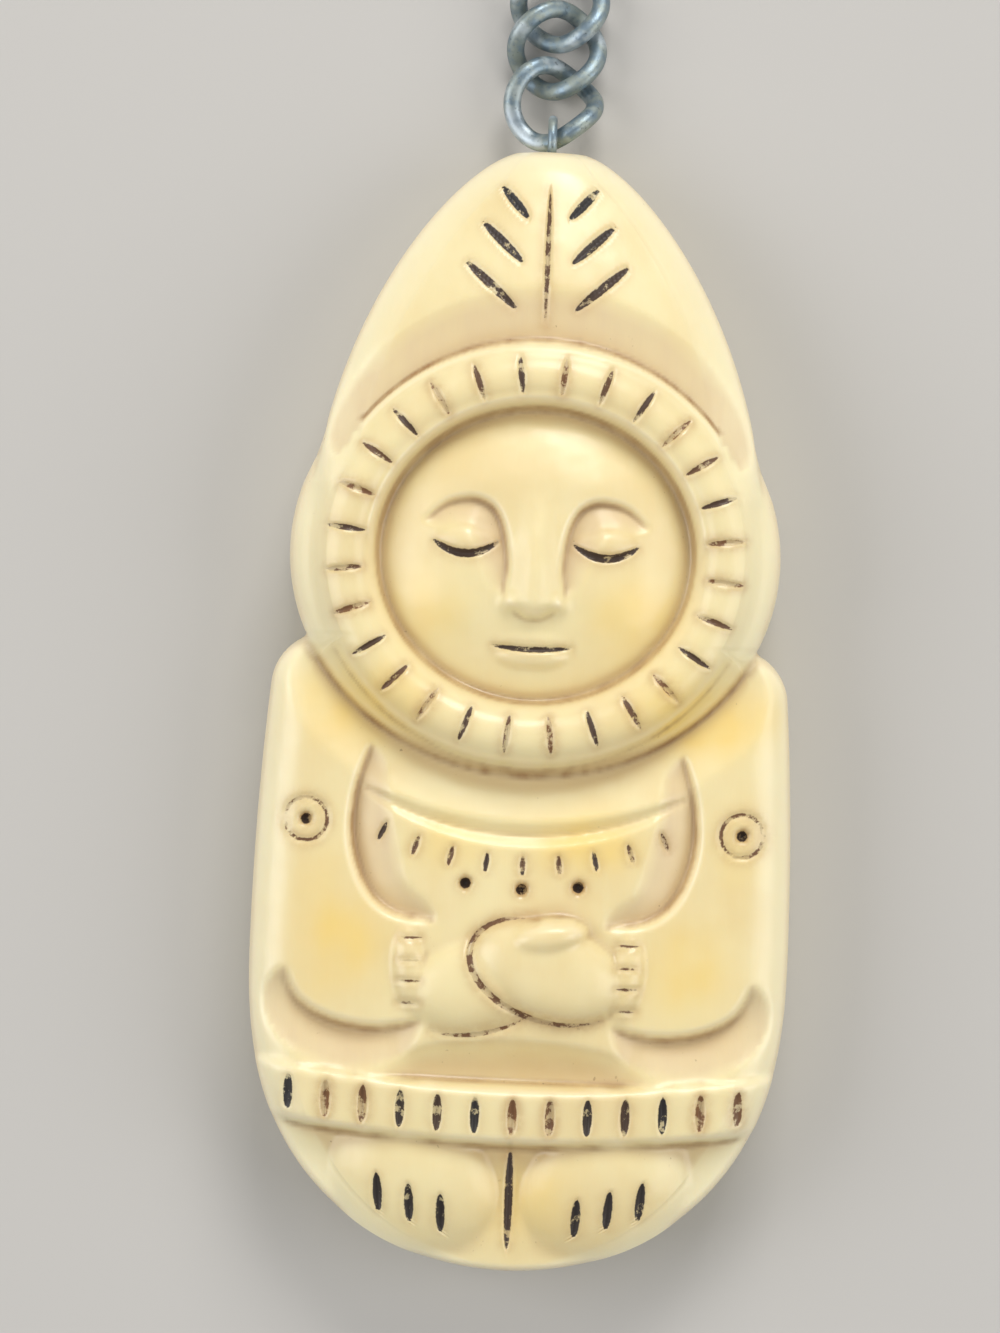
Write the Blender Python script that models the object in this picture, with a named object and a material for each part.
"""A carved ivory pendant in the shape of a hooded figure, on a short stretch of curb chain.

Units are metres. The pendant lies on its flat back: +X is the viewer's right, +Y runs up the
figure to the chain, and +Z leaves the carved front. The origin is the middle of the back.

The figure is carved as a carver would work it. Flat slabs and low rounded forms are joined
and the hollows are cut. The front is bent down towards its rim. Chip cuts, each with one
steep wall and one long slope, set the forms apart. The fine strokes are cut last, and each
one follows the surface below it.
"""

from collections import namedtuple
import math

import bmesh
import bpy
from mathutils import Euler, Matrix, Vector
from mathutils.bvhtree import BVHTree

MM = 0.001

# The figure as a whole
FIGURE_HEIGHT = 50.0 * MM
TIP_THICKNESS = 4.8 * MM
BASE_THICKNESS = 5.6 * MM
BODY_SIDE_DROP = 0.12
HOOD_SIDE_DROP = 0.30
BODY_BACK_RIM = 0.9 * MM
HOOD_BACK_RIM = 1.0 * MM
RUFF_BACK_RIM = 0.8 * MM

# Hood
HOOD_WIDTH = 19.6 * MM
HOOD_WIDEST_UP = 34.8 * MM
HOOD_THICKNESS = 8.1 * MM
HOOD_STEP_DEPTH = 0.75 * MM
HOOD_STEP_SLOPE = 2.6 * MM
HOOD_RIM = 1.3 * MM
HOOD_ARCH_SIDE = 1.65
HOOD_ARCH_TOP = 1.45
TIP_FLAT_WIDTH = 2.9 * MM

# Fur edge of the hood: a slab with a raised roll on it
RUFF_WIDTH = 21.8 * MM
RUFF_HEIGHT = 19.4 * MM
RUFF_CENTRE_UP = 31.9 * MM
RUFF_THICKNESS = 7.4 * MM
RUFF_RIM = 1.5 * MM
ROLL_BREADTH = 2.6 * MM
ROLL_CREST = 8.4 * MM
ROLL_SIDE_LEDGE = 1.1 * MM
ROLL_END_LEDGE = 0.4 * MM

# Face, inside the opening of the roll
OPENING_FLOOR = 6.5 * MM
OPENING_DRAFT = 0.5 * MM
FACE_OVERLAP = 0.9 * MM
FACE_CREST = 7.75 * MM
FACE_ROOT = 5.0 * MM
EYE_APART = 6.2 * MM
EYE_WIDTH = 2.9 * MM
EYE_UP = 0.55 * MM
NOSE_WIDTH = 2.5 * MM
NOSE_LENGTH = 5.6 * MM
NOSE_CREST = 8.3 * MM
NOSE_DOWN = 0.15 * MM
NOSE_ROUND = 0.9 * MM
LIP_ROUND = 0.6 * MM
MOUTH_WIDTH = 4.3 * MM
MOUTH_DOWN = 4.0 * MM
LIP_HEIGHT = 1.7 * MM
LIP_RISE = 0.2 * MM
BROW_DEPTH = 0.55 * MM
BROW_SLOPE = 1.7 * MM

# Body
BODY_WIDTH = 24.0 * MM
SHOULDER_WIDTH = 22.6 * MM
SHOULDER_UP = 28.2 * MM
SHOULDER_ROUND = 2.3 * MM
BODY_WIDEST_UP = 14.5 * MM
BASE_ROUNDNESS = 2.6
BODY_THICKNESS = 6.9 * MM
BODY_RIM = 1.8 * MM
NECK_FLOOR = 5.9 * MM
NECK_SLOPE = 2.3 * MM
NECK_TUCK = 0.4 * MM

# Sleeves, cuffs and mittens
SLEEVE_DEPTH = 0.85 * MM
SLEEVE_SLOPE = 2.2 * MM
CUFF_WIDTH = 4.6 * MM
CUFF_LENGTH = 1.8 * MM
CUFF_CREST = 7.35 * MM
MITTEN_LENGTH = 7.2 * MM
MITTEN_WIDTH = 4.4 * MM
MITTEN_CREST = 7.9 * MM
THUMB_LENGTH = 3.0 * MM
THUMB_WIDTH = 1.5 * MM
CUFF_ROUND = 1.0 * MM
MITTEN_ROUND = 1.3 * MM
THUMB_ROUND = 0.7 * MM

# Skirt, hem band and boots
SCOOP_DEPTH = 0.95 * MM
SCOOP_WIDTH = 17.0 * MM
SCOOP_HEIGHT = 4.6 * MM
HEM_UP = 6.9 * MM
HEM_HEIGHT = 2.4 * MM
HEM_SAG = 1.0 * MM
HEM_RISE = 0.4 * MM
HEM_PROUD = 0.15 * MM
BOOT_FLOOR = 5.9 * MM
BOOT_GAP = 0.15 * MM
BOOT_SIDE_MARGIN = 3.65 * MM
BOOT_LENGTH = 6.4 * MM
BOOT_CREST = 7.0 * MM
BOOT_ROUND = 1.6 * MM
SCOOP_ROUND = 3.0 * MM

# Cut strokes and drilled dots
STROKE_WIDTH = 0.50 * MM
STROKE_DEPTH = 0.28 * MM
FINE_WIDTH = 0.36 * MM
FINE_DEPTH = 0.20 * MM
GOUGE_WIDTH = 1.2 * MM
GOUGE_DEPTH = 0.42 * MM
TICK_LENGTH = 1.0 * MM
TICK_GAP = 0.25 * MM
DOT_RADIUS = 0.30 * MM
DOT_DEPTH = 0.5 * MM
RING_RADIUS = 0.95 * MM
RUFF_STROKES = 28
HEM_STROKES = 13
YOKE_TICKS = 9
CUFF_STROKES = 4
BOOT_STROKES = 3

# Screw eye, its ring partly sunk in a short slot in the figure's tip
EYE_WIRE = 0.45 * MM
EYE_HOLE = 1.45 * MM
EYE_SUNK = 0.50 * MM
SHANK_DIAMETER = 0.8 * MM
SHANK_LENGTH = 4.0 * MM
EYE_CLEARANCE = 0.12 * MM

# Curb chain
LINK_HOLE_WIDTH = 2.9 * MM
LINK_HOLE_LENGTH = 2.9 * MM
LINK_WIRE = 0.85 * MM
LINK_TWIST = math.radians(40.0)
LINK_FLOOR_GAP = 0.02 * MM
LINK_SLACK = 0.28 * MM

# How finely round shapes are faceted
OUTLINE_POINTS = 30
ROLL_POINTS = 36
ROLL_SIDES = 8
EYE_POINTS = 16
LINK_POINTS = 24
LINK_SIDES = 6
CROWN_CELL = 4.3 * MM
SLIVER = 0.004 * MM
HAIR = 0.0003 * MM

IVORY = "ivory"
TARNISHED_METAL = "tarnished_metal"

HALF_HEIGHT = FIGURE_HEIGHT / 2
BASE_Y = -HALF_HEIGHT
TIP_Y = HALF_HEIGHT
RUFF_Y = BASE_Y + RUFF_CENTRE_UP
SHOULDER_Y = BASE_Y + SHOULDER_UP

# Distances of a stroke's two ends, as shares of the half width and height of a named form
Stroke = namedtuple("Stroke", "across_start up_start across_end up_end")

# Right half of the hood's strokes: shares of the half width and height above the roll
HOOD_STROKES = (
    Stroke(0.09, 0.62, 0.22, 0.80),
    Stroke(0.11, 0.385, 0.30, 0.60),
    Stroke(0.13, 0.135, 0.37, 0.385),
)

# Places on the right half of the body: shares of its half width and of its height up to
# the shoulder. The left half is the same, mirrored.
Place = namedtuple("Place", "across up")
SLEEVE_INSIDE = (
    Place(0.585, 0.825),
    Place(0.640, 0.755),
    Place(0.650, 0.675),
    Place(0.590, 0.600),
    Place(0.480, 0.560),
    Place(0.320, 0.550),
)
SLEEVE_OUTSIDE = (
    Place(0.860, 0.470),
    Place(0.800, 0.425),
    Place(0.680, 0.398),
    Place(0.520, 0.388),
    Place(0.360, 0.398),
)
# The right brow and the side of the nose: shares of the opening's half width and height
BROW_LINE = (
    Place(0.690, 0.220),
    Place(0.555, 0.345),
    Place(0.385, 0.385),
    Place(0.255, 0.325),
    Place(0.180, 0.175),
    Place(0.152, -0.060),
    Place(0.175, -0.290),
)
CUFF_ACROSS = 0.400
CUFF_UP = 0.475

# Folded mittens: centre and turn of each, and how high it lies
Mitten = namedtuple("Mitten", "name across up turn crest_drop")
MITTENS = (
    Mitten("left", -0.150, 0.458, math.radians(-14.0), 0.20 * MM),
    Mitten("right", 0.110, 0.482, math.radians(17.0), 0.0),
)


def clear_scene():
    """Removes whatever the file holds, so the script can be run again."""
    for obj in list(bpy.data.objects):
        bpy.data.objects.remove(obj)
    for collection in list(bpy.data.collections):
        bpy.data.collections.remove(collection)


def new_collection(name):
    collection = bpy.data.collections.new(name)
    bpy.context.scene.collection.children.link(collection)
    return collection


def new_material(name, colour, roughness, metallic):
    material = bpy.data.materials.new(name)
    material.use_nodes = True
    shader = material.node_tree.nodes["Principled BSDF"]
    shader.inputs["Base Color"].default_value = (*colour, 1.0)
    shader.inputs["Roughness"].default_value = roughness
    shader.inputs["Metallic"].default_value = metallic
    return material


def object_from_bmesh(name, bm, collection):
    mesh = bpy.data.meshes.new(name)
    bmesh.ops.recalc_face_normals(bm, faces=bm.faces)
    bm.to_mesh(mesh)
    bm.free()
    obj = bpy.data.objects.new(name, mesh)
    collection.objects.link(obj)
    return obj


def mesh_from_curve(obj, collection):
    """The closed mesh of a curve object, with its caps welded. The curve is removed."""
    graph = bpy.context.evaluated_depsgraph_get()
    mesh = bpy.data.meshes.new_from_object(obj.evaluated_get(graph))
    mesh.transform(obj.matrix_world)
    bm = bmesh.new()
    bm.from_mesh(mesh)
    bmesh.ops.remove_doubles(bm, verts=bm.verts, dist=0.001 * MM)
    name = obj.name
    bpy.data.objects.remove(obj)
    bpy.data.meshes.remove(mesh)
    return object_from_bmesh(name, bm, collection)


def join_or_cut(target, tool, operation):
    """Joins the tool to the target or cuts it out, and removes the tool."""
    modifier = target.modifiers.new("carve", "BOOLEAN")
    modifier.operation = operation
    modifier.solver = "EXACT"
    modifier.object = tool
    graph = bpy.context.evaluated_depsgraph_get()
    carved = bpy.data.meshes.new_from_object(target.evaluated_get(graph))
    target.modifiers.clear()
    old = target.data
    target.data = carved
    bpy.data.meshes.remove(old)
    bpy.data.objects.remove(tool)


def poly_curve(name, points, collection, cyclic, dimensions, radii=None):
    curve = bpy.data.curves.new(name, "CURVE")
    curve.dimensions = dimensions
    spline = curve.splines.new("POLY")
    spline.points.add(len(points) - 1)
    for index, point in enumerate(points):
        x, y, z = point
        spline.points[index].co = (x, y, z, 1.0)
        spline.points[index].radius = radii[index] if radii else 1.0
    spline.use_cyclic_u = cyclic
    obj = bpy.data.objects.new(name, curve)
    collection.objects.link(obj)
    return obj


def slab(name, outline, thickness, rim, back_rim, collection):
    """A flat slab of the outline's shape with a rounded rim, from below z = 0 up to thickness.

    It is rounded alike in front and behind. What stands below z = 0 is filed off later,
    which leaves a slight round on the back's edge.
    """
    obj = poly_curve(name, [(x, y, 0.0) for x, y in outline], collection, True, "2D")
    curve = obj.data
    curve.fill_mode = "BOTH"
    curve.bevel_depth = rim
    curve.bevel_resolution = 2
    curve.offset = -rim
    curve.extrude = (thickness + back_rim) / 2 - rim
    obj.location.z = (thickness - back_rim) / 2
    bpy.context.view_layer.update()
    return mesh_from_curve(obj, collection)


def file_back_flat(figure, work):
    """Cuts away what lies below z = 0."""
    bm = bmesh.new()
    bmesh.ops.create_cube(bm, size=1.0)
    side = 2 * FIGURE_HEIGHT
    place = Matrix.Translation((0, 0, -side / 2)) @ Matrix.Scale(side, 4)
    bmesh.ops.transform(bm, matrix=place, verts=bm.verts)
    join_or_cut(figure, object_from_bmesh("file", bm, work), "DIFFERENCE")


def ellipsoid(name, centre, semi, turn, collection, segments=20, rings=10):
    """A sphere primitive stretched to its half sizes and turned."""
    bm = bmesh.new()
    bmesh.ops.create_uvsphere(bm, u_segments=segments, v_segments=rings, radius=1.0)
    stretch = Matrix.Diagonal((*semi, 1.0))
    place = Matrix.Translation(centre) @ Euler(turn).to_matrix().to_4x4() @ stretch
    bmesh.ops.transform(bm, matrix=place, verts=bm.verts)
    return object_from_bmesh(name, bm, collection)


def mirrored(points):
    """A closed outline from its right half, which runs from the base to the top."""
    left = [(-x, y) for x, y in reversed(points) if x > 0.001 * MM]
    return points + left


def body_half_width(y):
    """Half width of the body: a slight swell to its widest place, then the rounded base."""
    widest_y = BASE_Y + BODY_WIDEST_UP
    if y >= widest_y:
        rise = (y - widest_y) / (SHOULDER_Y - widest_y)
        return (BODY_WIDTH - (BODY_WIDTH - SHOULDER_WIDTH) * rise * rise) / 2
    fall = min((widest_y - y) / BODY_WIDEST_UP, 1.0)
    return BODY_WIDTH / 2 * math.sqrt(1.0 - fall**BASE_ROUNDNESS)


def body_outline(proud):
    """Outline of the body and its shoulders, standing proud of it at the sides."""
    right = [(0.0, BASE_Y)]
    for index in range(1, OUTLINE_POINTS // 2 + 1):
        fall = math.cos(math.pi / 2 * index / (OUTLINE_POINTS // 2 + 1))
        y = BASE_Y + BODY_WIDEST_UP * (1.0 - fall)
        right.append((body_half_width(y) + proud, y))
    side_steps = 5
    side_top = SHOULDER_Y - SHOULDER_ROUND
    for index in range(side_steps + 1):
        share = index / side_steps
        y = BASE_Y + BODY_WIDEST_UP + share * (side_top - BASE_Y - BODY_WIDEST_UP)
        right.append((body_half_width(y) + proud, y))
    corner_x = body_half_width(side_top) - SHOULDER_ROUND
    corner_steps = 4
    for index in range(1, corner_steps + 1):
        angle = math.pi / 2 * index / corner_steps
        x = corner_x + SHOULDER_ROUND * math.cos(angle)
        right.append((x, side_top + SHOULDER_ROUND * math.sin(angle)))
    return mirrored(right)


def hood_half_width(rise):
    """Half width of the hood at a share of the way from its widest place to its tip."""
    arch = (1.0 - rise**HOOD_ARCH_SIDE) ** (1.0 / HOOD_ARCH_TOP)
    return (TIP_FLAT_WIDTH + (HOOD_WIDTH - TIP_FLAT_WIDTH) * arch) / 2


def hood_outline():
    """Outline of the hood: straight sides hidden by the fur edge, then a pointed arch."""
    widest_y = BASE_Y + HOOD_WIDEST_UP
    right = [(HOOD_WIDTH / 2, RUFF_Y)]
    steps = OUTLINE_POINTS // 2
    for index in range(steps + 1):
        rise = math.sin(math.pi / 2 * index / steps)
        right.append((hood_half_width(rise), widest_y + rise * (TIP_Y - widest_y)))
    return mirrored(right)


def ruff_point(angle, inset_side, inset_end):
    """A point on the fur edge's oval, brought in by an inset at its sides and its ends."""
    x = (RUFF_WIDTH / 2 - inset_side) * math.cos(angle)
    y = (RUFF_HEIGHT / 2 - inset_end) * math.sin(angle)
    return x, RUFF_Y + y


def ruff_outline():
    count = OUTLINE_POINTS + 6
    return [ruff_point(2 * math.pi * index / count, 0.0, 0.0) for index in range(count)]


def opening_half_sizes():
    """Half width and half height of the opening inside the roll."""
    half_width = RUFF_WIDTH / 2 - ROLL_SIDE_LEDGE - ROLL_BREADTH
    half_height = RUFF_HEIGHT / 2 - ROLL_END_LEDGE - ROLL_BREADTH
    return half_width, half_height


def body_point(across, up):
    """A place on the body by shares of its half width and of its height to the shoulder."""
    return across * BODY_WIDTH / 2, BASE_Y + up * SHOULDER_UP


def frustum(name, low_sizes, high_sizes, low_z, high_z, centre_y, collection):
    """An oval cone section between two heights, for a sloping cut."""
    bm = bmesh.new()
    bmesh.ops.create_cone(
        bm, cap_ends=True, segments=40, radius1=1.0, radius2=1.0, depth=1.0
    )
    for vert in bm.verts:
        half_width, half_height = low_sizes if vert.co.z < 0 else high_sizes
        height = low_z if vert.co.z < 0 else high_z
        vert.co = (vert.co.x * half_width, centre_y + vert.co.y * half_height, height)
    return object_from_bmesh(name, bm, collection)


def carve_body(work):
    """The body slab, dished where the hood's fur edge meets it."""
    body = slab("body", body_outline(0.0), BODY_THICKNESS, BODY_RIM, BODY_BACK_RIM, work)
    slope = (NECK_SLOPE + NECK_TUCK) / (BODY_THICKNESS - NECK_FLOOR)
    headroom = 1.0 * MM
    reach = NECK_SLOPE + NECK_TUCK + slope * headroom
    half_width, half_height = RUFF_WIDTH / 2 - NECK_TUCK, RUFF_HEIGHT / 2 - NECK_TUCK
    dish = frustum(
        "neck_dish",
        (half_width, half_height),
        (half_width + reach, half_height + reach),
        NECK_FLOOR,
        BODY_THICKNESS + headroom,
        RUFF_Y,
        work,
    )
    join_or_cut(body, dish, "DIFFERENCE")
    return body


def add_hood(figure, work):
    """The pointed hood, the slab of its fur edge and the roll along that edge."""
    hood = slab("hood", hood_outline(), HOOD_THICKNESS, HOOD_RIM, HOOD_BACK_RIM, work)
    join_or_cut(figure, hood, "UNION")
    ruff = slab("ruff", ruff_outline(), RUFF_THICKNESS, RUFF_RIM, RUFF_BACK_RIM, work)
    join_or_cut(figure, ruff, "UNION")
    radius = ROLL_BREADTH / 2
    middle = [
        ruff_point(2 * math.pi * index / ROLL_POINTS, ROLL_SIDE_LEDGE + radius, ROLL_END_LEDGE + radius)
        for index in range(ROLL_POINTS)
    ]
    height = ROLL_CREST - radius
    roll = poly_curve("roll", [(x, y, height) for x, y in middle], work, True, "3D")
    roll.data.bevel_depth = radius
    roll.data.bevel_resolution = (ROLL_SIDES - 4) // 2
    bpy.context.view_layer.update()
    join_or_cut(figure, mesh_from_curve(roll, work), "UNION")


def add_face(figure, work):
    """The sunken opening of the hood and the calm, plain face inside it."""
    half_width, half_height = opening_half_sizes()
    opening = frustum(
        "opening",
        (half_width - OPENING_DRAFT / 2, half_height - OPENING_DRAFT / 2),
        (half_width + OPENING_DRAFT, half_height + OPENING_DRAFT),
        OPENING_FLOOR,
        ROLL_CREST + OPENING_DRAFT,
        RUFF_Y,
        work,
    )
    join_or_cut(figure, opening, "DIFFERENCE")
    face_semi = (half_width + FACE_OVERLAP, half_height + FACE_OVERLAP, FACE_CREST - FACE_ROOT)
    face = ellipsoid("face", (0, RUFF_Y, FACE_ROOT), face_semi, (0, 0, 0), work, 28, 12)
    nose_semi = (NOSE_WIDTH / 2, NOSE_LENGTH / 2, NOSE_ROUND)
    nose_centre = (0, RUFF_Y - NOSE_DOWN, NOSE_CREST - nose_semi[2])
    nose = ellipsoid("nose", nose_centre, nose_semi, (math.radians(9.0), 0, 0), work, 14, 8)
    join_or_cut(face, nose, "UNION")
    lip_semi = (MOUTH_WIDTH / 2, LIP_HEIGHT / 2, LIP_ROUND)
    lip_z = face_height(face_semi, 0.0, -MOUTH_DOWN) + LIP_RISE - lip_semi[2]
    lips = ellipsoid("lips", (0, RUFF_Y - MOUTH_DOWN, lip_z), lip_semi, (0, 0, 0), work, 16, 8)
    join_or_cut(face, lips, "UNION")
    join_or_cut(figure, face, "UNION")


def face_height(semi, x, y):
    """Height of the face's dome at a place given from the face's centre."""
    return FACE_ROOT + semi[2] * math.sqrt(1.0 - (x / semi[0]) ** 2 - (y / semi[1]) ** 2)


def smooth_path(stations, count):
    """Points of a curve through the stations, evenly spread, as a Catmull-Rom spline."""
    padded = [stations[0], *stations, stations[-1]]
    spans = len(stations) - 1
    points = []
    for index in range(count + 1):
        place = spans * index / count
        span = min(int(place), spans - 1)
        t = place - span
        before, start, end, after = padded[span : span + 4]
        points.append([
            0.5 * (
                2 * b
                + (c - a) * t
                + (2 * a - 5 * b + 4 * c - d) * t * t
                + (3 * b - a - 3 * c + d) * t**3
            )
            for a, b, c, d in zip(before, start, end, after)
        ])
    return points


def add_cuffs(figure, work):
    """The raised fur cuff at each wrist."""
    for side in (-1, 1):
        x, y = body_point(side * CUFF_ACROSS, CUFF_UP)
        semi = (CUFF_LENGTH / 2, CUFF_WIDTH / 2, CUFF_ROUND)
        turn = (0, 0, side * math.radians(-8.0))
        cuff = ellipsoid("cuff", (x, y, CUFF_CREST - semi[2]), semi, turn, work, 16, 10)
        join_or_cut(figure, cuff, "UNION")


def add_mittens(figure, work):
    """Two mittens folded one over the other, with the upper one's thumb."""
    for mitten in MITTENS:
        x, y = body_point(mitten.across, mitten.up)
        semi = (MITTEN_LENGTH / 2, MITTEN_WIDTH / 2, MITTEN_ROUND)
        centre = (x, y, MITTEN_CREST - mitten.crest_drop - semi[2])
        hand = ellipsoid("mitten", centre, semi, (0, 0, -mitten.turn), work, 18, 10)
        join_or_cut(figure, hand, "UNION")
    x, y = body_point(MITTENS[1].across, MITTENS[1].up)
    thumb_semi = (THUMB_LENGTH / 2, THUMB_WIDTH / 2, THUMB_ROUND)
    centre = (x - 0.1 * MM, y + MITTEN_WIDTH * 0.36, MITTEN_CREST + 0.05 * MM - thumb_semi[2])
    thumb = ellipsoid("thumb", centre, thumb_semi, (0, 0, math.radians(12.0)), work, 12, 6)
    join_or_cut(figure, thumb, "UNION")


def hem_curve(x, up):
    """Height up the figure of the hem at x: lowest in the middle, rising to each side."""
    share = x / (BODY_WIDTH / 2)
    return BASE_Y + up - HEM_SAG * (1.0 - share * share)


def region_prism(name, outline, low_z, high_z, work):
    """A straight-sided block of the outline's shape between two heights."""
    obj = poly_curve(name, [(x, y, 0.0) for x, y in outline], work, True, "2D")
    obj.data.fill_mode = "BOTH"
    obj.data.extrude = (high_z - low_z) / 2
    obj.location.z = (high_z + low_z) / 2
    bpy.context.view_layer.update()
    return mesh_from_curve(obj, work)


def hem_region(low_up, high_up):
    """Outline of a band right across the body between two hem curves."""
    reach = BODY_WIDTH / 2 + 1.0 * MM
    steps = 12
    across = [reach * (2 * index / steps - 1) for index in range(steps + 1)]
    low = [(x, hem_curve(x, low_up)) for x in across]
    high = [(x, hem_curve(x, high_up)) for x in reversed(across)]
    return low + high


def add_skirt(figure, work):
    """The scooped skirt, the lowered ground of the boots, and the raised hem band."""
    hem_top = HEM_UP + HEM_HEIGHT
    scoop_semi = (SCOOP_WIDTH / 2, SCOOP_HEIGHT / 2, SCOOP_ROUND)
    scoop_y = hem_curve(0.0, hem_top) + SCOOP_HEIGHT * 0.12
    centre = (0, scoop_y, BODY_THICKNESS - SCOOP_DEPTH + SCOOP_ROUND)
    scoop = ellipsoid("scoop", centre, scoop_semi, (0, 0, 0), work, 24, 12)
    join_or_cut(figure, scoop, "DIFFERENCE")
    above = BODY_THICKNESS + 1.0 * MM
    ground = region_prism("boot_ground", hem_region(-HEM_UP, HEM_UP), BOOT_FLOOR, above, work)
    join_or_cut(figure, ground, "DIFFERENCE")
    band_thickness = BODY_THICKNESS + HEM_RISE
    band = slab("hem_band", body_outline(HEM_PROUD), band_thickness, BODY_RIM, BODY_BACK_RIM, work)
    region = region_prism("band_region", hem_region(HEM_UP, hem_top), 1.0 * MM, above, work)
    join_or_cut(band, region, "INTERSECT")
    join_or_cut(figure, band, "UNION")


def boot_width():
    """Each boot fills its half of the base, but for the middle gap and a margin at the side."""
    return BODY_WIDTH / 2 - BOOT_GAP - BOOT_SIDE_MARGIN


def add_boots(figure, work):
    """The rounded toes of two boots below the hem."""
    for side in (-1, 1):
        semi = (boot_width() / 2, BOOT_LENGTH / 2, BOOT_ROUND)
        x = side * (boot_width() / 2 + BOOT_GAP)
        y = BASE_Y + HEM_UP - HEM_SAG - BOOT_LENGTH * 0.30
        turn = (0, 0, side * math.radians(24.0))
        boot = ellipsoid("boot", (x, y, BOOT_CREST - semi[2]), semi, turn, work, 20, 8)
        join_or_cut(figure, boot, "UNION")


def bend_front_down(obj):
    """Bends the whole front down towards its rim, tip and base. The back stays flat.

    The faces are first divided into cells, so that flat ones can follow the bend.
    """
    bm = bmesh.new()
    bm.from_mesh(obj.data)
    columns = math.ceil(BODY_WIDTH / CROWN_CELL)
    rows = math.ceil(FIGURE_HEIGHT / CROWN_CELL)
    lines = [((-BODY_WIDTH / 2 + BODY_WIDTH * i / columns, 0, 0), (1, 0, 0)) for i in range(1, columns)]
    lines += [((0, BASE_Y + FIGURE_HEIGHT * i / rows, 0), (0, 1, 0)) for i in range(1, rows)]
    for place, normal in lines:
        everything = bm.verts[:] + bm.edges[:] + bm.faces[:]
        bmesh.ops.bisect_plane(bm, geom=everything, plane_co=place, plane_no=normal, dist=0.02 * MM)
    back = [edge for edge in bm.edges if max(vert.co.z for vert in edge.verts) < 0.001 * MM]
    inner = [edge for edge in back if all(face.normal.z < -0.999 for face in edge.link_faces)]
    bmesh.ops.dissolve_edges(bm, edges=inner, use_verts=True)
    bmesh.ops.triangulate(bm, faces=bm.faces)
    for vert in bm.verts:
        vert.co.z *= front_share(vert.co.x, vert.co.y)
    bm.to_mesh(obj.data)
    bm.free()


def front_share(x, y):
    """How much of its flat height the front keeps at a place on the figure."""
    widest_y = BASE_Y + HOOD_WIDEST_UP
    rise = min(max((y - widest_y) / (TIP_Y - widest_y), 0.0), 1.0)
    half_width = BODY_WIDTH / 2 if y < widest_y else BODY_WIDTH / HOOD_WIDTH * hood_half_width(rise)
    across = min(abs(x) / half_width, 1.0)
    drop = BODY_SIDE_DROP + (HOOD_SIDE_DROP - BODY_SIDE_DROP) * min(3.0 * rise, 1.0)
    share = 1.0 - drop * across * across
    if rise > 0.0:
        share *= 1.0 - (1.0 - TIP_THICKNESS / HOOD_THICKNESS) * rise * rise
    low_y = BASE_Y + BODY_WIDEST_UP
    if y < low_y:
        fall = (low_y - y) / BODY_WIDEST_UP
        share *= 1.0 - (1.0 - BASE_THICKNESS / BODY_THICKNESS) * fall * fall
    return share


class Surface:
    """Finds the height of the carved front below any place."""

    def __init__(self, obj):
        bm = bmesh.new()
        bm.from_mesh(obj.data)
        self.tree = BVHTree.FromBMesh(bm)
        bm.free()

    def drop(self, x, y, otherwise=0.0):
        """The place on the front at x and y, or one at another height off the figure."""
        start = Vector((x, y, 2 * ROLL_CREST))
        hit = self.tree.ray_cast(start, Vector((0, 0, -1)))
        return hit[0] if hit[0] else Vector((x, y, otherwise))


def straight(start, end, steps):
    """Points along a straight stroke."""
    return [
        (start[0] + (end[0] - start[0]) * i / steps, start[1] + (end[1] - start[1]) * i / steps)
        for i in range(steps + 1)
    ]


def arc(half_width, sag, centre, steps):
    """Points of a shallow arc whose middle lies lower than its ends by sag."""
    points = []
    for index in range(steps + 1):
        across = 2 * index / steps - 1
        points.append((centre[0] + across * half_width, centre[1] - sag * (1 - across * across)))
    return points


def groove(surface, plan, width, depth, work, closed=False):
    """A V-shaped cutter whose point runs along the plan, depth below the carved surface.

    Its cross-section is a diamond that stands above the surface as far as it cuts below,
    and it tapers at both ends as a graver's stroke does.
    """
    points = [surface.drop(x, y) for x, y in plan]
    count = len(points)
    radii = [1.0] * count
    if not closed:
        radii[0] = radii[-1] = 0.35
    cutter = poly_curve("groove", points, work, closed, "3D", radii)
    cutter.data.bevel_depth = width / 2
    cutter.data.bevel_resolution = 0
    cutter.data.use_fill_caps = not closed
    bpy.context.view_layer.update()
    tool = mesh_from_curve(cutter, work)
    return sharpen(tool, points, width, depth, closed)


def sharpen(tool, points, width, depth, closed):
    """Sets how deep a round-wire cutter reaches, by stretching it about its centre line."""
    stretch = 2 * depth / width
    for vert in tool.data.vertices:
        near = min(points, key=lambda point: (point.xy - vert.co.xy).length)
        vert.co.z = near.z + (vert.co.z - near.z) * stretch
    return tool


def beside(plan, distances, side):
    """Points beside a line at the given distances, which never run backwards.

    They lie to the left of the line where side is 1, and to its right where it is -1.
    """
    count = len(plan)
    points = []
    for index, (x, y) in enumerate(plan):
        before = plan[max(index - 1, 0)]
        after = plan[min(index + 1, count - 1)]
        along = Vector((after[0] - before[0], after[1] - before[1])).normalized()
        across = side * Vector((-along.y, along.x))
        point = Vector((x, y)) + across * distances[index]
        least = 0.02 * MM
        if points and (point - points[-1]).dot(along) < least:
            point = points[-1] + along * least
        points.append(point)
    return points


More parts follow.
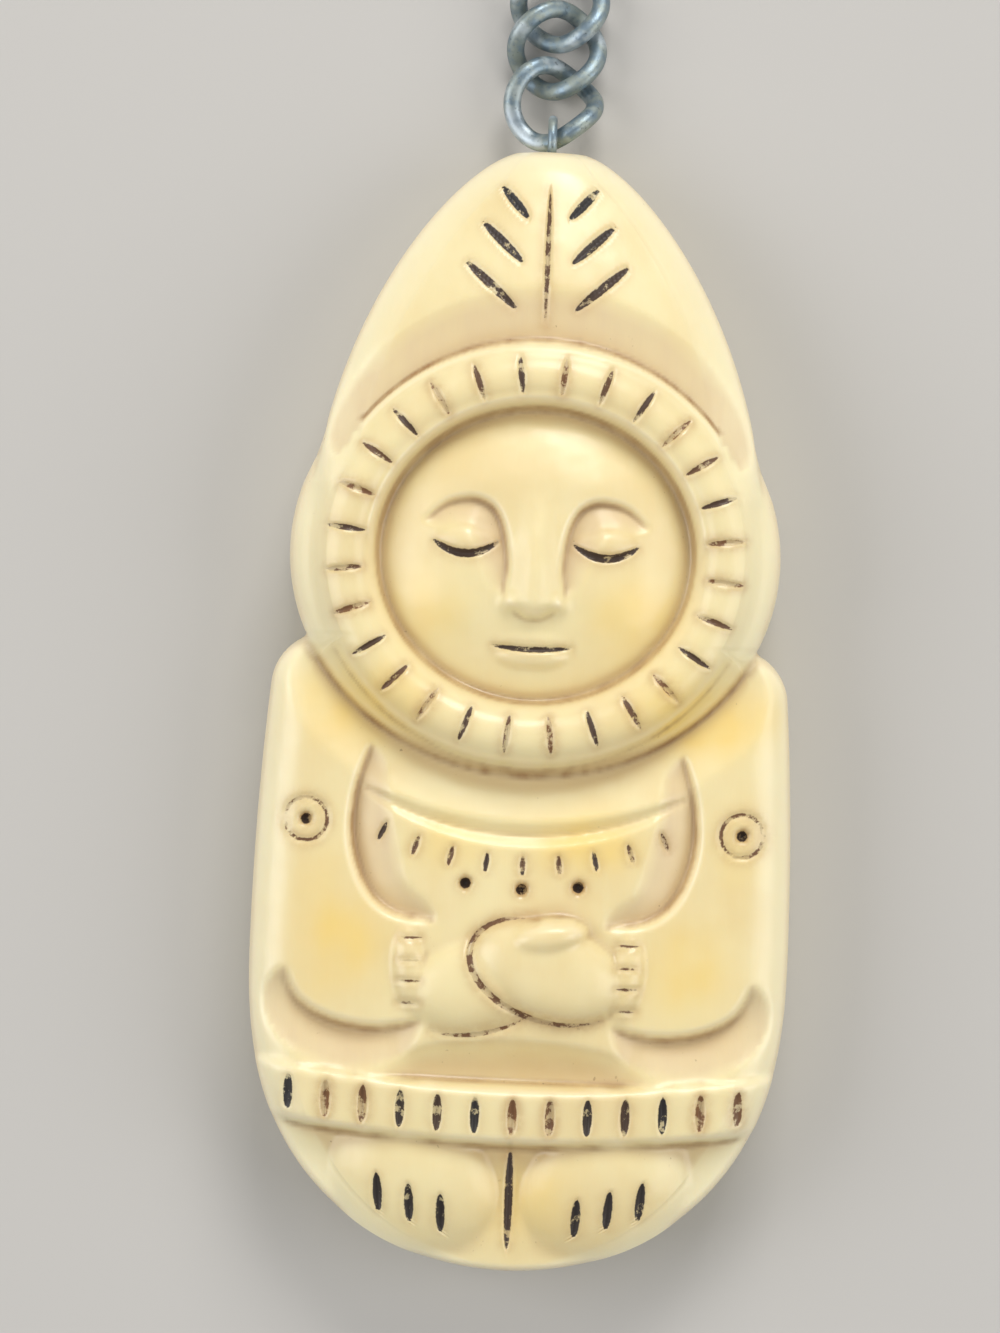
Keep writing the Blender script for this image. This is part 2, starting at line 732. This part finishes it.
def chip(surface, plan, slope, depth, side, work):
    """A cutter with a steep wall along the plan and a long slope beside it.

    Four lines are carried along the plan: above its line, at the foot of the wall, where
    the slope runs out on the surface, and above that.
    """
    headroom = 0.5 * MM
    bury = 0.02 * MM
    count = len(plan)
    sizes = [0.25 + 0.75 * math.sin(math.pi * i / (count - 1)) ** 0.6 for i in range(count)]
    feet = beside(plan, [0.12 * slope * size for size in sizes], side)
    run_outs = beside(plan, [slope * size for size in sizes], side)
    beyonds = beside(plan, [slope * size + 0.15 * MM for size in sizes], side)
    bm = bmesh.new()
    rings = []
    for place, size, foot, run_out, beyond in zip(plan, sizes, feet, run_outs, beyonds):
        wall_top = surface.drop(*place)
        far = surface.drop(*run_out, wall_top.z)
        past = surface.drop(*beyond, wall_top.z)
        rings.append([
            bm.verts.new((*place, wall_top.z + headroom)),
            bm.verts.new((*foot, wall_top.z - depth * size)),
            bm.verts.new((*run_out, far.z - bury)),
            bm.verts.new((*beyond, max(past.z, far.z) + headroom)),
        ])
    for ring, following in zip(rings, rings[1:]):
        for corner in range(4):
            other = (corner + 1) % 4
            bm.faces.new((ring[corner], ring[other], following[other], following[corner]))
    bm.faces.new(rings[0])
    bm.faces.new(rings[-1])
    bmesh.ops.triangulate(bm, faces=bm.faces)
    return object_from_bmesh("chip", bm, work)


def dot(surface, x, y, work):
    """A small drilled pit with a pointed floor."""
    top = surface.drop(x, y)
    bm = bmesh.new()
    bmesh.ops.create_cone(
        bm, cap_ends=True, segments=8, radius1=DOT_RADIUS * 0.35, radius2=DOT_RADIUS, depth=2 * DOT_DEPTH
    )
    bmesh.ops.translate(bm, vec=top, verts=bm.verts)
    return object_from_bmesh("dot", bm, work)


def circle(centre, radius, count):
    return [
        (
            centre[0] + radius * math.cos(2 * math.pi * index / count),
            centre[1] + radius * math.sin(2 * math.pi * index / count),
        )
        for index in range(count)
    ]


def cut_chips(figure, work):
    """Sets the hood, the sleeves, the brows and the nose apart with sloping cuts."""
    surface = Surface(figure)
    half_width, half_height = opening_half_sizes()
    chips = []
    for side in (-1, 1):
        inside = [body_point(side * place.across, place.up) for place in SLEEVE_INSIDE]
        plan = smooth_path(inside, 12)
        chips.append(chip(surface, plan, SLEEVE_SLOPE, SLEEVE_DEPTH, -side, work))
        outside = [body_point(side * place.across, place.up) for place in SLEEVE_OUTSIDE]
        plan = smooth_path(outside, 10)
        chips.append(chip(surface, plan, SLEEVE_SLOPE, SLEEVE_DEPTH, side, work))
        brow = [
            (side * place.across * half_width, RUFF_Y + place.up * half_height)
            for place in BROW_LINE
        ]
        plan = smooth_path(brow, 14)
        chips.append(chip(surface, plan, BROW_SLOPE, BROW_DEPTH, side, work))
    spread = math.radians(64.0)
    steps = 20
    step = []
    for index in range(steps + 1):
        angle = math.pi / 2 + spread * (2 * index / steps - 1)
        step.append(ruff_point(angle, ROLL_SIDE_LEDGE + 0.1 * MM, ROLL_END_LEDGE + 0.1 * MM))
    chips.append(chip(surface, step, HOOD_STEP_SLOPE, HOOD_STEP_DEPTH, -1, work))
    for piece in chips:
        join_or_cut(figure, piece, "DIFFERENCE")


def hood_cuts(surface, work):
    """The hood's seam and the slanting strokes on each side of it."""
    low_y = RUFF_Y + RUFF_HEIGHT / 2
    rise = TIP_Y - low_y
    half = HOOD_WIDTH / 2
    seam = straight((0, low_y + 0.04 * rise), (0, low_y + 0.80 * rise), 4)
    cuts = [groove(surface, seam, FINE_WIDTH, FINE_DEPTH, work)]
    for stroke in HOOD_STROKES:
        for side in (-1, 1):
            start = (side * stroke.across_start * half, low_y + stroke.up_start * rise)
            end = (side * stroke.across_end * half, low_y + stroke.up_end * rise)
            cuts.append(groove(surface, straight(start, end, 2), STROKE_WIDTH, STROKE_DEPTH, work))
    return cuts


def ruff_cuts(surface, work):
    """Short strokes across the roll, all the way round, for the fur."""
    cuts = []
    near = 0.18 * ROLL_BREADTH
    far = 0.86 * ROLL_BREADTH
    for index in range(RUFF_STROKES):
        angle = 2 * math.pi * (index + 0.5) / RUFF_STROKES
        start = ruff_point(angle, ROLL_SIDE_LEDGE + near, ROLL_END_LEDGE + near)
        end = ruff_point(angle, ROLL_SIDE_LEDGE + far, ROLL_END_LEDGE + far)
        cuts.append(groove(surface, straight(start, end, 2), FINE_WIDTH, FINE_DEPTH, work))
    return cuts


def face_cuts(surface, work):
    """Two resting eyelids and a level mouth."""
    cuts = []
    for side in (-1, 1):
        centre = (side * EYE_APART / 2, RUFF_Y + EYE_UP)
        lid = arc(EYE_WIDTH / 2, EYE_WIDTH * 0.2, centre, 6)
        cuts.append(groove(surface, lid, STROKE_WIDTH, STROKE_DEPTH, work))
    mouth = arc(MOUTH_WIDTH / 2 * 0.86, MOUTH_WIDTH * 0.035, (0, RUFF_Y - MOUTH_DOWN), 6)
    cuts.append(groove(surface, mouth, FINE_WIDTH, STROKE_DEPTH, work))
    return cuts


def yoke_cuts(surface, work):
    """A wide gouge round the neck, with short ticks hanging from it and three dots."""
    offset = NECK_SLOPE + 0.35 * MM
    spread = math.radians(31.0)
    steps = 10
    plan = []
    for index in range(steps + 1):
        angle = -math.pi / 2 + spread * (2 * index / steps - 1)
        plan.append(ruff_point(angle, -offset, -offset))
    cuts = [groove(surface, plan, GOUGE_WIDTH, GOUGE_DEPTH, work)]
    tick_near = offset + GOUGE_WIDTH / 2 + TICK_GAP
    tick_far = tick_near + TICK_LENGTH
    for index in range(YOKE_TICKS):
        angle = -math.pi / 2 + spread * 0.8 * (2 * index / (YOKE_TICKS - 1) - 1)
        start = ruff_point(angle, -tick_near, -tick_near)
        end = ruff_point(angle, -tick_far, -tick_far)
        cuts.append(groove(surface, straight(start, end, 2), FINE_WIDTH, FINE_DEPTH, work))
    dot_out = tick_far + DOT_RADIUS + TICK_GAP
    for index in (-1, 0, 1):
        angle = -math.pi / 2 + index * math.radians(9.0)
        cuts.append(dot(surface, *ruff_point(angle, -dot_out, -dot_out), work))
    return cuts


def sleeve_cuts(surface, work):
    """A circle and dot on each upper arm, and the fur strokes of each cuff."""
    cuts = []
    for side in (-1, 1):
        x, y = body_point(side * 0.805, 0.705)
        cuts.append(groove(surface, circle((x, y), RING_RADIUS, 14), FINE_WIDTH, FINE_DEPTH, work, True))
        cuts.append(dot(surface, x, y, work))
        cuff_x, cuff_y = body_point(side * CUFF_ACROSS, CUFF_UP)
        for index in range(CUFF_STROKES):
            along = CUFF_WIDTH * 0.62 * (index / (CUFF_STROKES - 1) - 0.5)
            reach = CUFF_LENGTH * 0.34
            start = (cuff_x - reach, cuff_y + along)
            end = (cuff_x + reach, cuff_y + along)
            cuts.append(groove(surface, straight(start, end, 2), FINE_WIDTH, FINE_DEPTH, work))
    return cuts


def hem_cuts(surface, work):
    """Upright bars along the hem band."""
    cuts = []
    reach = BODY_WIDTH / 2 * 0.83
    for index in range(HEM_STROKES):
        x = reach * (2 * index / (HEM_STROKES - 1) - 1)
        start = (x, hem_curve(x, HEM_UP + HEM_HEIGHT * 0.15))
        end = (x, hem_curve(x, HEM_UP + HEM_HEIGHT * 0.85))
        cuts.append(groove(surface, straight(start, end, 2), STROKE_WIDTH, STROKE_DEPTH, work))
    return cuts


def boot_cuts(surface, work):
    """The line between the boots and the pleats of each toe."""
    top = hem_curve(0.0, HEM_UP) - 0.35 * MM
    bottom = BASE_Y + 1.0 * MM
    cuts = [groove(surface, straight((0, top), (0, bottom), 5), STROKE_WIDTH, STROKE_DEPTH, work)]
    for side in (-1, 1):
        for index in range(BOOT_STROKES):
            x = side * boot_width() * (0.36 + 0.17 * index)
            low = BASE_Y + HEM_UP * (0.25 + 0.06 * index)
            high = low + HEM_UP * 0.26
            plan = straight((x, low), (x * 1.03, high), 2)
            cuts.append(groove(surface, plan, STROKE_WIDTH, STROKE_DEPTH, work))
    return cuts


def cut_strokes(figure, work):
    """Cuts every stroke, gouge and dot into the finished form, one group after another."""
    surface = Surface(figure)
    groups = (hood_cuts, ruff_cuts, face_cuts, yoke_cuts, sleeve_cuts, hem_cuts, boot_cuts)
    for group in groups:
        bm = bmesh.new()
        for cut in group(surface, work):
            bm.from_mesh(cut.data)
            bpy.data.objects.remove(cut)
        clear_slivers(figure, HAIR)
        join_or_cut(figure, object_from_bmesh("strokes", bm, work), "DIFFERENCE")


def clear_slivers(figure, shortest):
    """Merges the edges shorter than the shortest one allowed, which crossing cuts leave."""
    bm = bmesh.new()
    bm.from_mesh(figure.data)
    bmesh.ops.triangulate(bm, faces=bm.faces)
    bmesh.ops.dissolve_degenerate(bm, edges=bm.edges, dist=shortest)
    bmesh.ops.triangulate(bm, faces=bm.faces)
    bm.to_mesh(figure.data)
    bm.free()


def eye_height():
    """Height of the screw eye: the middle of the flat end at the figure's tip."""
    share = TIP_THICKNESS / HOOD_THICKNESS
    return (HOOD_THICKNESS - HOOD_RIM) * share / 2 + 0.25 * MM


def eye_centre():
    outer = EYE_HOLE / 2 + EYE_WIRE
    return Vector((0, TIP_Y - EYE_SUNK + outer, eye_height()))


def upright_cylinder(name, radius, low_y, high_y, z, work):
    """A cylinder that runs along the figure's height."""
    bm = bmesh.new()
    bmesh.ops.create_cone(
        bm, cap_ends=True, segments=16, radius1=radius, radius2=radius, depth=high_y - low_y
    )
    turn = Matrix.Rotation(math.pi / 2, 4, "X")
    place = Matrix.Translation((0, (low_y + high_y) / 2, z))
    bmesh.ops.transform(bm, matrix=place @ turn, verts=bm.verts)
    return object_from_bmesh(name, bm, work)


def drill_for_eye(figure, work):
    """The slot that takes the foot of the ring, and the hole for its shank."""
    radius = SHANK_DIAMETER / 2 + EYE_CLEARANCE
    depth = SHANK_LENGTH + EYE_CLEARANCE
    above = 1.0 * MM
    drill = upright_cylinder("drill", radius, TIP_Y - depth, TIP_Y + above, eye_height(), work)
    join_or_cut(figure, drill, "DIFFERENCE")
    slot_width = EYE_WIRE + 2 * EYE_CLEARANCE
    slot_length = EYE_HOLE + 2 * EYE_WIRE + 2 * EYE_CLEARANCE
    low_y = TIP_Y - EYE_SUNK - EYE_CLEARANCE
    high_y = TIP_Y + above
    bm = bmesh.new()
    bmesh.ops.create_cube(bm, size=1.0)
    size = Matrix.Diagonal((slot_width, high_y - low_y, slot_length, 1.0))
    place = Matrix.Translation((0, (low_y + high_y) / 2, eye_height()))
    bmesh.ops.transform(bm, matrix=place @ size, verts=bm.verts)
    join_or_cut(figure, object_from_bmesh("slot", bm, work), "DIFFERENCE")


def build_figure(parts, work):
    figure = carve_body(work)
    add_hood(figure, work)
    add_face(figure, work)
    add_skirt(figure, work)
    add_boots(figure, work)
    add_cuffs(figure, work)
    add_mittens(figure, work)
    file_back_flat(figure, work)
    bend_front_down(figure)
    drill_for_eye(figure, work)
    cut_chips(figure, work)
    cut_strokes(figure, work)
    clear_slivers(figure, SLIVER)
    work.objects.unlink(figure)
    parts.objects.link(figure)
    figure.name = "carved_figure"
    return figure


def build_screw_eye(parts, work):
    """A plain ring that stands on edge, with its shank in the figure's tip."""
    centre = eye_centre()
    ring_radius = (EYE_HOLE + EYE_WIRE) / 2
    count = EYE_POINTS
    points = [
        (0, centre.y + ring_radius * math.cos(2 * math.pi * i / count),
         centre.z + ring_radius * math.sin(2 * math.pi * i / count))
        for i in range(count)
    ]
    ring = poly_curve("screw_eye", points, work, True, "3D")
    ring.data.bevel_depth = EYE_WIRE / 2
    ring.data.bevel_resolution = (LINK_SIDES - 4) // 2
    bpy.context.view_layer.update()
    eye = mesh_from_curve(ring, parts)
    top = centre.y - ring_radius
    shank = upright_cylinder("shank", SHANK_DIAMETER / 2, TIP_Y - SHANK_LENGTH, top, centre.z, work)
    join_or_cut(eye, shank, "UNION")
    eye.name = "screw_eye"
    return eye


def link_points():
    """Centre line of a curb link: an oval along Y, twisted about its own length."""
    half_width = (LINK_HOLE_WIDTH + LINK_WIRE) / 2
    half_length = (LINK_HOLE_LENGTH + LINK_WIRE) / 2
    points = []
    for index in range(LINK_POINTS):
        angle = 2 * math.pi * index / LINK_POINTS
        x = half_width * math.cos(angle)
        y = half_length * math.sin(angle)
        twist = -LINK_TWIST * y / half_length
        points.append((x * math.cos(twist), y, x * math.sin(twist)))
    return points


def link_places():
    """Where each link lies: its centre, its lean and its turn on the surface.

    The first hangs in the screw eye and leans down to the surface. The second lies flat,
    drawn out from the first. The third has slid back along the second.
    """
    half_length = (LINK_HOLE_LENGTH + LINK_WIRE) / 2
    lift = max(z for x, y, z in link_points()) + LINK_WIRE / 2
    flat_z = lift + LINK_FLOOR_GAP
    eye = eye_centre()
    drop = eye.z - flat_z + LINK_SLACK / 2
    lean = math.asin(drop / (2 * half_length))
    first = Vector((0, eye.y + half_length * math.cos(lean), eye.z - half_length * math.sin(lean)))
    drawn = 2 * half_length - LINK_WIRE - LINK_SLACK
    second = Vector((0.05 * MM, first.y + half_length * math.cos(lean) + drawn - half_length, flat_z))
    third = Vector((0.10 * MM, second.y + drawn * 0.82, flat_z))
    return (
        ("chain_link_1", first, -lean, 0.0),
        ("chain_link_2", second, 0.0, math.radians(-3.0)),
        ("chain_link_3", third, 0.0, math.radians(4.0)),
    )


def build_links(parts):
    links = []
    for name, centre, lean, turn in link_places():
        link = poly_curve(name, link_points(), parts, True, "3D")
        link.data.bevel_depth = LINK_WIRE / 2
        link.data.bevel_resolution = (LINK_SIDES - 4) // 2
        link.location = centre
        link.rotation_euler = (lean, 0.0, turn)
        links.append(link)
    return links


def shade(obj, material):
    if obj.type == "MESH":
        obj.data.shade_smooth()
        obj.data.set_sharp_from_angle(angle=math.radians(32.0))
    obj.data.materials.clear()
    obj.data.materials.append(material)


def main():
    clear_scene()
    parts = new_collection("ivory_pendant")
    work = new_collection("cutters")
    ivory = new_material(IVORY, (0.80, 0.66, 0.40), 0.32, 0.0)
    metal = new_material(TARNISHED_METAL, (0.33, 0.38, 0.38), 0.42, 1.0)
    shade(build_figure(parts, work), ivory)
    shade(build_screw_eye(parts, work), metal)
    for link in build_links(parts):
        shade(link, metal)


main()
